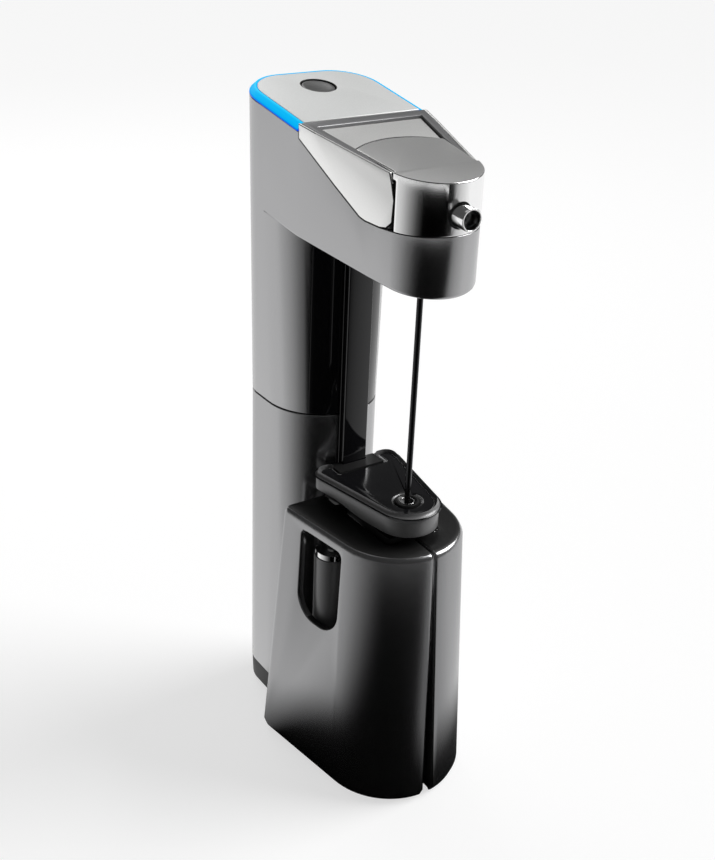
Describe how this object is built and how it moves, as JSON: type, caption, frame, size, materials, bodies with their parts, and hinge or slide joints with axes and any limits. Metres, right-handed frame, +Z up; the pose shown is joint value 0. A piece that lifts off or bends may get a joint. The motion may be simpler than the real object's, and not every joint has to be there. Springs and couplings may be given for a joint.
{
  "type": "wine preservation dispenser",
  "caption": "Handheld wine preservation dispenser with a gas-capsule handle, slanted pouring head, hollow needle and a bottle clamp of two sprung jaws on a sliding carriage.",
  "frame": {"origin": "on the floor under the centre of the round front of the handle, in the face of the foot pad", "axes": "+Z up along the handle, -Y towards the spout and clamp, X across"},
  "size_m": [0.0596, 0.0947, 0.2255],
  "materials": {
    "gunmetal": "satin metallic paint",
    "gloss_black": "high gloss",
    "blue_light": "frosted light guide, lit blue",
    "satin_silver": "fine blasted satin",
    "mid_grey": "satin",
    "deck_grey": "fine textured satin",
    "chrome": "polished",
    "needle_steel": "dark coated steel",
    "inner_steel": "plain",
    "capsule_steel": "zinc plated",
    "inner_aluminium": "machined",
    "brass": "machined",
    "black_plastic": "fine matte",
    "clamp_black": "satin with a fine texture",
    "black_rubber": "matte",
    "button_grey": "spun, dished",
    "clear_tube": "translucent",
    "board_green": "solder mask",
    "cell_wrap": "printed wrap, plain"
  },
  "bodies": {
    "root": {"handle_shell": "gunmetal", "front_cover": "gloss_black", "guide_rail": "gloss_black", "light_ring": "blue_light", "top_panel": "satin_silver", "trim_frame": "mid_grey", "wing_left": "satin_silver", "wing_right": "satin_silver", "press_deck": "deck_grey", "spout_cap": "chrome", "spout_seal": "black_rubber", "spout_tube": "chrome", "wine_channel": "inner_steel", "needle": "needle_steel", "needle_hub": "black_plastic", "gas_valve": "inner_steel", "gas_tube": "clear_tube", "button_housing": "black_plastic", "button_spring": "inner_steel", "button_switch": "black_plastic", "circuit_board": "board_green", "battery_tray": "black_plastic", "battery_cells": "cell_wrap", "gas_regulator": "brass", "piercing_pin": "inner_steel", "capsule_seal": "black_rubber", "gas_capsule": "capsule_steel", "cup_collar": "inner_aluminium", "gas_cup": "gunmetal", "base_foot": "black_plastic", "foot_pad": "black_rubber"},
    "carriage": {"clamp_plate": "clamp_black", "plate_neck": "black_plastic", "hinge_block": "black_plastic", "slider_shoe": "black_plastic", "needle_guide": "chrome", "bottle_stop": "black_rubber", "hinge_pins": "inner_steel", "jaw_spring_left": "inner_steel", "jaw_spring_right": "inner_steel"},
    "jaw_left": {"jaw_left": "clamp_black", "roller_left": "clamp_black", "roller_cap_left": "chrome", "grip_left": "black_rubber"},
    "jaw_right": {"jaw_right": "clamp_black", "roller_right": "clamp_black", "roller_cap_right": "chrome", "grip_right": "black_rubber"},
    "button": {"power_button": "button_grey"}
  },
  "joints": [
    {"name": "carriage_slide", "type": "slide", "parent": "root", "child": "carriage", "axis": [0, 0, 1], "range_m": [0, 0.07]},
    {"name": "jaw_left_swing", "type": "hinge", "parent": "carriage", "child": "jaw_left", "pos_m": [-0.006, -0.046, 0.091], "axis": [0, 1, 0], "range_deg": [0, 7], "stiffness_Nm_per_rad": 1, "springref_deg": -2.86},
    {"name": "jaw_right_swing", "type": "hinge", "parent": "carriage", "child": "jaw_right", "pos_m": [0.006, -0.046, 0.091], "axis": [0, -1, 0], "range_deg": [0, 7], "stiffness_Nm_per_rad": 1, "springref_deg": -2.86},
    {"name": "power_button_press", "type": "slide", "parent": "root", "child": "button", "axis": [0, 0.153, -0.9882], "range_m": [0, 0.0008], "stiffness_N_per_m": 400, "springref_m": -0.001}
  ],
  "couplings": [
    {"joint": "jaw_right_swing", "follows": "jaw_left_swing", "ratio": 1}
  ]
}
